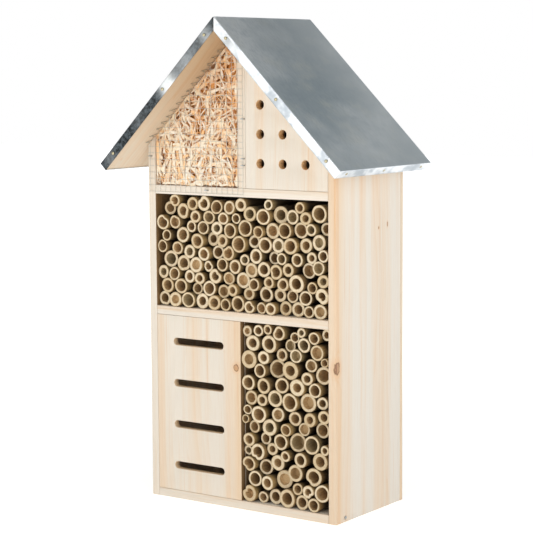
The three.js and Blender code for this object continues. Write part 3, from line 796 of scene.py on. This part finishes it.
class SheetShape:
    """The folded sheet's measures, and the rows of points and the tones that follow from them."""

    def __init__(self):
        self.low, self.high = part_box("roof_sheet")
        self.length = self.high.x * ROOT_2
        self.alongs = spaced(RIDGE_BEND, self.length - FOLD_RADIUS, 80)
        self.ys = spaced(self.low.y + FOLD_RADIUS, self.high.y - FOLD_RADIUS, 40)
        self.section = fold_section()
        self.nails = {side: sorted(map(down_slope, flange_nails("front", side))) for side in SIDES}

    def slope(self, side):
        return [[slope_point(side, along, 0, y) for along in self.alongs] for y in self.ys]

    def ridge(self):
        rows = []
        for y in self.ys:
            row = []
            for share in spaced(-1, 1, 6):
                point = slope_point(-1 if share < 0 else 1, RIDGE_BEND * abs(share), 0, y)
                point.z -= (1 - abs(share)) ** 2 * RIDGE_BEND * 0.3
                row.append(point)
            rows.append(row)
        return rows

    def eave(self, side):
        """The fold and the flange at an eave, with the dents at its nails."""
        nails = [nail.y for nail in flange_nails("eave", side)]
        rows = []
        for past, below in self.section:
            row = []
            for y in [self.low.y - past, *self.ys[1:-1], self.high.y + past]:
                pressed = dent(y, nails) * (below > FOLD_RADIUS)
                row.append(slope_point(side, self.length + past - pressed, below, y))
            rows.append(row)
        return rows

    def flange(self, side, way):
        """The fold and the flange down one slope, at the front or the rear, from the ridge's seam."""
        rows = []
        for past, below in self.section:
            start = max(RIDGE_BEND, below + RIDGE_SEAM / ROOT_2)
            reaches = [max(along, start) for along in [start, *self.alongs[1:-1], self.length + past]]
            rows.append([self.flange_point(side, way, along, past, below) for along in reaches])
        return rows

    def flange_point(self, side, way, along, past, below):
        """Point of a front or rear flange, with its slight waves and the dents at its nails."""
        edge = self.low.y if way < 0 else self.high.y
        fade = min(1.0, (self.length - along) / (8 * MM)) * (below > FOLD_RADIUS)
        wave = abs(noise.noise(Vector((along * 45, side * 7.0, way * 3.0)))) * 0.3 * MM * below / FLANGE
        pressed = fade * (wave + dent(along, self.nails[side]))
        return slope_point(side, along, below, edge + way * (past - pressed))

    def tone(self, point):
        """How bright the zinc is painted at a point: 0.5 on the slopes, other on the folded edges."""
        fall = CAD_BOX[1].z - point.z
        along, below = (fall + abs(point.x)) / ROOT_2, (fall - abs(point.x)) / ROOT_2
        if below < 0.1 * MM:
            # Painted highlight along the bend over the ridge
            return 0.5 + 0.25 * bell(along, 0, 2 * MM)
        if point.y > self.low.y + FOLD_RADIUS * 0.9:
            # Painted reflection: the folded edges other than the front flanges are nearly white
            return 0.95
        # Painted shade on the left front flange
        if point.x < 0:
            return left_flange_painted_tone(along, self.nails[-1])
        # Painted reflection on the right front flange, greyer round its top nail
        grey = bell(along, self.nails[1][0] + 4 * MM, 16 * MM)
        return 0.95 - 0.62 * grey * min(1.0, below / (2 * MM))


def add_grid(bm, rows):
    made = [[bm.verts.new(point) for point in row] for row in rows]
    for first, second in zip(made, made[1:]):
        for corners in zip(first, first[1:], second[1:], second):
            bm.faces.new(corners)


def sheet_surface(shape):
    """The outer surface of the sheet, in grids that are joined at their edges."""
    bm = bmesh.new()
    for side in SIDES:
        add_grid(bm, shape.slope(side))
        add_grid(bm, shape.eave(side))
        for way in (-1, 1):
            add_grid(bm, shape.flange(side, way))
    add_grid(bm, shape.ridge())
    bmesh.ops.remove_doubles(bm, verts=bm.verts, dist=0.01 * MM)
    return bm


def make_roof_sheet():
    shape = SheetShape()
    bm = sheet_surface(shape)
    tone = bm.verts.layers.float.new("tone")
    for vert in bm.verts:
        vert[tone] = shape.tone(vert.co)
    sheet = object_from(bm, "folded_sheet", [galvanised()], 50)
    solidify = sheet.modifiers.new("thickness", "SOLIDIFY")
    solidify.thickness = SHEET
    solidify.offset = -1
    apply_modifiers(sheet)
    finish_piece(sheet, "galvanised_sheet", "roof_sheet")


def apply_modifiers(piece):
    mesh = bpy.data.meshes.new_from_object(evaluated(piece))
    piece.modifiers.clear()
    piece.data = mesh


# ---- Bamboo ----


Tube = namedtuple("Tube", "x z radius bore front")


def take_joined(face, left):
    """Takes a face and all that are joined to it out of the set of those left."""
    left.discard(face)
    group, stack = [], [face]
    while stack:
        current = stack.pop()
        group.append(current)
        for edge in current.edges:
            for other in edge.link_faces:
                if other in left:
                    left.discard(other)
                    stack.append(other)
    return group


def tube_fronts(node):
    """The tubes of a CAD bundle, from the rings of faces at their fronts."""
    fewest_corners = 12
    bm = cad_bmesh(node)
    left = {face for face in bm.faces if face.normal.y < -0.99}
    tubes = []
    for face in bm.faces:
        if face not in left:
            continue
        points = {vert: vert.co.copy() for each in take_joined(face, left) for vert in each.verts}
        middle = sum(points.values(), Vector()) / len(points)
        radii = [math.hypot(p.x - middle.x, p.z - middle.z) for p in points.values()]
        if len(points) >= fewest_corners and min(radii) < 0.9 * max(radii):
            tubes.append(Tube(middle.x, middle.z, max(radii), min(radii), middle.y))
    bm.free()
    return sorted(tubes, key=lambda tube: (round(tube.z, 4), round(tube.x, 4)))


def storey_room(storey):
    """Left, right, floor and ceiling of the space that a storey's tubes lie in."""
    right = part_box("right_side_board")[0].x
    shelf_low, shelf_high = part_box("lower_shelf")
    if storey == "upper":
        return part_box("left_side_board")[1].x, right, shelf_high.z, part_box("upper_shelf")[0].z
    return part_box("lower_divider")[1].x, right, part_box("bottom_board")[1].z, shelf_low.z


def grown(tube, tubes, room):
    """The tube's radius, let out until it nearly meets a neighbour or a wall."""
    x, z, radius = tube.x, tube.z, tube.radius
    left, right, floor, ceiling = room
    free = [x - left - radius, right - x - radius, z - floor - radius, ceiling - z - radius]
    for other in tubes:
        if other is not tube:
            free.append((math.hypot(x - other.x, z - other.z) - radius - other.radius) / 2)
    spare, most = 0.05 * MM, 0.6 * MM
    return radius + min(max(min(free) - spare, 0.0), most)


def tube_shape(rng, radius):
    """Radius of a tube at each angle: slightly oval and crooked, and sometimes hollowed like a kidney."""
    oval, oval_at = rng.uniform(0.0, 0.025), rng.uniform(0, math.pi)
    crooked, crooked_at = rng.uniform(0.0, 0.012), rng.uniform(0, math.tau)
    depth, width = rng.uniform(0.12, 0.3), rng.uniform(0.3, 0.55)
    hollow = depth if rng.random() < 0.1 else 0.0
    hollow_at = rng.uniform(0, math.tau)

    def at(angle):
        share = 1 - oval * (1 - math.cos(2 * (angle - oval_at))) / 2
        share -= crooked * (1 - math.cos(3 * (angle - crooked_at)))
        away = (angle - hollow_at + math.pi) % math.tau - math.pi
        return radius * (share - hollow * bell(away, 0, width))

    return at


class Cane:
    """A tube's outline, the slant of its cut and the shades that it carries."""

    def __init__(self, bm, layers, rng, tube, radius):
        self.bm = bm
        self.own, self.rim = layers
        self.x, self.z = tube.x, tube.z
        self.shades = (rng.random(), rng.random(), rng.random(), 1)
        self.outside = tube_shape(rng, radius)
        self.tilt_x, self.tilt_z = rng.uniform(-0.07, 0.07), rng.uniform(-0.07, 0.07)

    def loop(self, y, inset, wear=0.0, sawn=False):
        """Ring of points, in from the outline by the inset. A sawn one is ragged and slants."""
        verts = []
        for angle in turns(TUBE_SIDES):
            reach = self.outside(angle) - inset
            if sawn:
                ragged = noise.noise(Vector((math.cos(angle), math.sin(angle), self.x / MM)) * 3.1)
                reach += ragged * 0.14 * MM
            dx, dz = reach * math.cos(angle), reach * math.sin(angle)
            slant = (self.tilt_x * dx + self.tilt_z * dz) if sawn else 0.0
            vert = self.bm.verts.new((self.x + dx, y + slant, self.z + dz))
            vert[self.own] = self.shades
            vert[self.rim] = wear
            verts.append(vert)
        return verts


def add_tube(bm, layers, rng, tube, radius, back):
    """Cane with a sawn front, a knuckle outside and a cross wall in its bore."""
    cane = Cane(bm, layers, rng, tube, radius)
    shallow = rng.random() < 0.3
    depth = rng.uniform(3, 14) * MM if shallow else rng.uniform(14, 95) * MM
    knuckle = tube.front + rng.uniform(12, 80) * MM
    cut = tube.front + max(abs(cane.tilt_x), abs(cane.tilt_z)) * radius * 1.4
    wall = radius - tube.bore
    swell = -0.035 * radius
    skin = [
        (back, 0.0),
        (knuckle + 1.4 * MM, 0.0),
        (knuckle + 0.5 * MM, swell),
        (knuckle, 0.02 * radius),
        (knuckle - 0.5 * MM, swell),
        (knuckle - 1.4 * MM, 0.0),
        (cut + TUBE_LIP * 3, 0.0),
        (cut + TUBE_LIP, 0.0, 1.0, True),
    ]
    end = [
        (cut, TUBE_LIP, 0.7, True),
        (cut, TUBE_LIP + wall * 0.2, 0.0, True),
        (cut, wall * 0.8, 0.0, True),
        (cut + TUBE_LIP * 0.6, wall, 0.6, True),
    ]
    bore = [(cut + 1.2 * MM, wall), (cut + depth * 0.6, wall * 1.05), (cut + depth, wall * 1.4)]
    loops = [cane.loop(*place) for place in skin + end + bore]
    materials = [0] * len(skin) + [1] * len(end) + [2] * len(bore)
    for first, second, material in zip(loops, loops[1:], materials[1:]):
        add_strip(bm, first, second, material)
    bm.faces.new(loops[-1]).material_index = 2
    bm.faces.new(loops[0][::-1]).material_index = 1


def make_bamboo():
    materials = [bamboo_skin(), bamboo_cut(), bamboo_bore()]
    for storey in ("upper", "lower"):
        nodes = sorted(node for node in frame["nodes"] if node.startswith("bamboo_" + storey))
        bundles = {node: tube_fronts(node) for node in nodes}
        everyone = [tube for tubes in bundles.values() for tube in tubes]
        room = storey_room(storey)
        for node, tubes in bundles.items():
            rng = random.Random(node)
            bm = bmesh.new()
            layers = (bm.verts.layers.float_color.new("own"), bm.verts.layers.float.new("rim"))
            for tube in tubes:
                add_tube(bm, layers, rng, tube, grown(tube, everyone, room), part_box(node)[1].y)
            finish_piece(object_from(bm, node.replace("bamboo_", "tubes_"), materials, 40), "bamboo", node)


# ---- Wire mesh ----


def add_rod(bm, points, radius, material=0):
    """Round bar through the points. It doesn't run along Y."""
    loops = []
    for i, point in enumerate(points):
        ahead = points[min(i + 1, len(points) - 1)] - points[max(i - 1, 0)]
        ahead.normalize()
        side = ahead.cross(Vector((0, 1, 0))).normalized()
        up = side.cross(ahead)
        ring = [point + (side * math.cos(a) + up * math.sin(a)) * radius for a in turns(WIRE_SIDES)]
        loops.append([bm.verts.new(place) for place in ring])
    add_bar(bm, loops, material)


def roof_underside(x):
    """Height of the roof boards' underside, which the left side's bevelled top fits against."""
    return UNDERSIDE_PEAK - abs(x)


def wavy_wire(rng, start, end):
    """Points of a wire that wanders a little from the straight line and bulges forward."""
    offset = Vector((rng.random() * 9, 0, 0))
    count = max(3, int((end - start).length / (MESH_PITCH / 2)))
    wandering = 2 if abs((end - start).x) > abs((end - start).z) else 0
    points = []
    for i in range(count + 1):
        point = start.lerp(end, i / count)
        drift = noise.noise(point * 25 + offset) * 0.4 * MM
        point.y = start.y - abs(noise.noise(point * 90 + offset)) * 0.25 * MM
        point[wandering] += drift
        points.append(point)
    return points


def add_fold(bm, rng, point, way, reach):
    """The cut end of a wire, bent forward along the underside of the roof board, in the darker material
    that paints its shadow.
    """
    slant = rng.uniform(0.1, 0.35)
    bent = Vector((way * slant, -1, way * slant - rng.uniform(0.02, 0.06))).normalized()
    add_rod(bm, [point, point + bent * reach * 0.5, point + bent * reach], WIRE_RADIUS * 1.15, 1)


def lay_wire(bm, rng, start, end):
    points = wavy_wire(rng, start, end)
    add_rod(bm, points, WIRE_RADIUS)
    return points


def make_wire_mesh():
    """Level wires with the uprights in front, and their cut ends folded forward under the roof."""
    low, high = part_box("wire_mesh")
    margin = 0.3 * MM
    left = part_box("left_side_board")[0].x + 0.5 * MM
    right, bottom, top = high.x - margin, low.z + margin, UNDERSIDE_PEAK - WIRE_GAP
    level_y = high.y - WIRE_RADIUS - 0.1 * MM
    upright_y = level_y - 2 * WIRE_RADIUS
    rng = random.Random(11)
    bm = bmesh.new()
    for i in range(int((right - left) / MESH_PITCH) + 1):
        x = right - i * MESH_PITCH
        start, end = (x, upright_y, bottom), (x, upright_y, top - abs(x))
        points = lay_wire(bm, rng, Vector(start), Vector(end))
        if x < 0:
            add_fold(bm, rng, points[-1], 1, rng.uniform(4.5, 7.5) * MM)
    for i in range(int((top - bottom) / MESH_PITCH)):
        z = bottom + i * MESH_PITCH
        reach = top - z
        start, end = (max(-reach, left), level_y, z), (min(right, reach), level_y, z)
        points = lay_wire(bm, rng, Vector(start), Vector(end))
        if -reach > left:
            add_fold(bm, rng, points[0], -1, rng.uniform(7.5, 10.5) * MM)
    dull = {"scale": 0.5, "smooth": 0.4, "rough": 0.6, "metallic": 0.45}
    wires = [mottled_metal("mesh_wire", "B0ADA2", "DBD8CD", **dull)]
    # The ends' darker material is a painted shadow on the roof board's underside
    wires.append(mottled_metal("mesh_wire_ends", "6C6D5E", "A09F92", **dull))
    finish_piece(object_from(bm, "hardware_cloth", wires, 40), "mesh_wire", "wire_mesh")


# ---- Wood wool ----


def wool_place(point, edge):
    """The point, brought inside the packing's outline."""
    low, high = WOOL_BOX
    x = min(max(point.x, low.x + edge), high.x - edge)
    y = min(max(point.y, low.y), high.y)
    z = min(max(point.z, low.z + edge * 0.4), roof_underside(x) - edge - WOOL_GAP)
    return Vector((x, y, z))


def height_share(z):
    """0 at the bottom of the packing, 1 at its top, where the roof shades it and it is thinner."""
    low, high = WOOL_BOX
    return min(max((z - low.z) / (high.z - low.z), 0.0), 1.0)


def shaving_path(rng, start, heading, curl, count, edge):
    """Middle line of a shaving, laid step by step inside the packing."""
    points = [start]
    for _ in range(count):
        way = Vector((math.cos(heading), 0, math.sin(heading)))
        points.append(wool_place(points[-1] + way * SHAVING_STEP, edge))
        heading += curl + rng.uniform(-0.05, 0.05)
    return points


def ribbon_section(point, way, turn, width):
    """Corners of a ribbon's section round a point, turned round the way that it goes."""
    flat = Vector((0, -1, 0)).cross(way).normalized()
    facing = way.cross(flat)
    across = flat * math.cos(turn) + facing * math.sin(turn)
    out = across.cross(way).normalized() * SHAVING
    halves = ((-0.5, -0.5), (0.5, -0.5), (0.5, 0.5), (-0.5, 0.5))
    return [point + across * (a * width) + out * b for a, b in halves]


def add_shaving(bm, own, rng, start, depth):
    """One flat ribbon of wood, gently curved and twisted, as a closed bar."""
    front = WOOL_BOX[0].y
    slim = rng.random() < 0.35
    width = rng.uniform(0.5, 1.1) * MM if slim else rng.uniform(1.2, 3.6) * MM
    count = rng.randint(2, 5) if rng.random() < 0.55 else rng.randint(5, 12)
    heading = rng.gauss(math.pi / 2, 0.6) if rng.random() < 0.35 else rng.uniform(0, math.pi)
    curl = rng.gauss(0, 0.22) if rng.random() < 0.25 else rng.gauss(0, 0.04)
    twist, twist_rate = rng.uniform(-0.6, 0.6), rng.uniform(-0.09, 0.09)
    wave, phase = rng.uniform(0, 1.3) * MM, rng.uniform(0, math.tau)
    # How deep in painted shade the shaving lies: deeper in the packing and higher under the roof
    shade = depth / (20 * MM) + 0.3 * height_share(start.z) ** 2
    shades = (rng.random(), shade, rng.random(), 1)
    points = shaving_path(rng, start, heading, curl, count, width * 0.4 + 0.4 * MM)
    for i, point in enumerate(points):
        # The first point is the start itself, so the others move with it
        point.y = max(front, start.y + wave * math.sin(phase + i * 0.4))
    loops = []
    for i, point in enumerate(points):
        way = points[min(i + 1, count)] - points[max(i - 1, 0)]
        if way.length < 0.2 * MM:
            way = Vector((0, 0, 1))
        taper = min(1.0, 0.5 + 0.35 * min(i, count - i))
        section = ribbon_section(point, way.normalized(), twist + twist_rate * i, width * taper)
        loop = [bm.verts.new((corner.x, max(corner.y, front), corner.z)) for corner in section]
        for vert in loop:
            vert[own] = shades
        loops.append(loop)
    add_bar(bm, loops)


def make_shavings():
    low, high = WOOL_BOX
    rng = random.Random(23)
    bm = bmesh.new()
    own = bm.verts.layers.float_color.new("own")
    laid = 0
    while laid < SHAVINGS:
        x, z = rng.uniform(low.x, high.x), rng.uniform(low.z - 14 * MM, high.z)
        if z > roof_underside(x) - 3 * MM or rng.random() < 0.4 * height_share(z):
            continue
        depth = rng.random() ** 1.4 * 15 * MM
        start = wool_place(Vector((x, low.y + depth, z)), 1.5 * MM)
        add_shaving(bm, own, rng, start, depth)
        laid += 1
    finish_piece(object_from(bm, "wood_wool_shavings", [shavings()], 50), "wood_wool", "wood_wool")


def make_wool_core():
    """The packing behind the loose shavings, coloured in painted shade: one closed body with a lumpy
    front.
    """
    low, high = WOOL_BOX
    steps = 40
    bm = bmesh.new()
    front, back = {}, {}
    for i, x in enumerate(spaced(low.x + WOOL_GAP, high.x - WOOL_GAP, steps)):
        for j, z in enumerate(spaced(low.z + 0.3 * MM, roof_underside(x) - 3 * MM, steps)):
            point = Vector((x, low.y + 12 * MM, z))
            point.y += (noise.noise(point * 110) + 0.5 * noise.noise(point * 300)) * 3 * MM
            front[i, j] = bm.verts.new(point)
            back[i, j] = bm.verts.new((x, high.y, z))
    for i in range(steps):
        for j in range(steps):
            for side in (front, back):
                bm.faces.new((side[i, j], side[i + 1, j], side[i + 1, j + 1], side[i, j + 1]))
        level_rims = [((i, j), (i + 1, j)) for j in (0, steps)]
        upright_rims = [((j, i), (j, i + 1)) for j in (0, steps)]
        for a, b in level_rims + upright_rims:
            bm.faces.new((front[a], front[b], back[b], back[a]))
    piece = object_from(bm, "wood_wool_core", [deep_shavings()], 60)
    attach(piece, "root")


# ---- Nails, staples and hanger ----


NAIL_DIRECTIONS = {
    "roof_nail_front": (0, -1, 0),
    "roof_nail_rear": (0, 1, 0),
    "roof_nail_eave_left": (-1, 0, -1),
    "roof_nail_eave_right": (1, 0, -1),
}


def half_nail(way, reach):
    """Half a nail's length, from half of its box, which is wider by the head of a slanting nail."""
    if way.y:
        return reach.y
    return reach.x * ROOT_2 - NAIL_RADIUS


def nail_profile(half_length):
    """Radii and heights of a nail, from its point to the top of its domed head."""
    profile = [
        (0.0, -half_length * 1.7),
        (SHANK_RADIUS, -half_length * 1.55),
        (SHANK_RADIUS, -0.05 * MM),
        (NAIL_RADIUS * 0.97, 0.0),
    ]
    for angle in spaced(0, math.pi / 2, 6)[1:-1]:
        profile.append((NAIL_RADIUS * math.cos(angle), NAIL_HEIGHT * (0.25 + 0.75 * math.sin(angle))))
    return profile + [(0.0, NAIL_HEIGHT)]


def nail_piece(node, material, outward):
    low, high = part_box(node)
    way = Vector(outward).normalized()
    half_length = half_nail(way, (high - low) / 2)
    seat = (low + high) / 2 + way * (half_length - NAIL_HEIGHT)
    turn = way.to_track_quat("Z", "Y").to_matrix()
    bm = bmesh.new()
    loops = []
    for radius, height in nail_profile(half_length):
        angles = turns(NAIL_SIDES) if radius else [0.0]
        ring = [Vector((radius * math.cos(a), radius * math.sin(a), height)) for a in angles]
        loops.append([bm.verts.new(seat + turn @ place) for place in ring])
    for first, second in zip(loops, loops[1:]):
        add_strip(bm, first, second)
    return object_from(bm, node + "_round", [material], 40)


def make_nails():
    brass = mottled_metal("brass_nail", "8F8467", "D6CBA8", 1.5, 0.25, 0.4, depth=0.03 * MM)
    zinc = mottled_metal("zinc_plate", "8E9293", "C2C6C7", 0.8, 0.28, 0.5)
    for node in sorted(frame["nodes"]):
        for start, outward in NAIL_DIRECTIONS.items():
            if node.startswith(start):
                finish_piece(nail_piece(node, brass, outward), "brass_nail", node)
        if node.startswith(("side_nail", "hanger_nail", "mesh_staple")):
            wear_material(node, zinc)
    rounded_board("sawtooth_hanger", "saw_hanger", [zinc], "zinc_plate", HANGER_EDGE)


def wear_material(node, material):
    data = frame["nodes"][node].data
    data.materials.clear()
    data.materials.append(material)


make_camera()
make_studio()
make_floor()
make_boards()
make_drilled_panel()
make_slot_panel()
make_roof_sheet()
make_bamboo()
make_wire_mesh()
make_shavings()
make_wool_core()
make_nails()
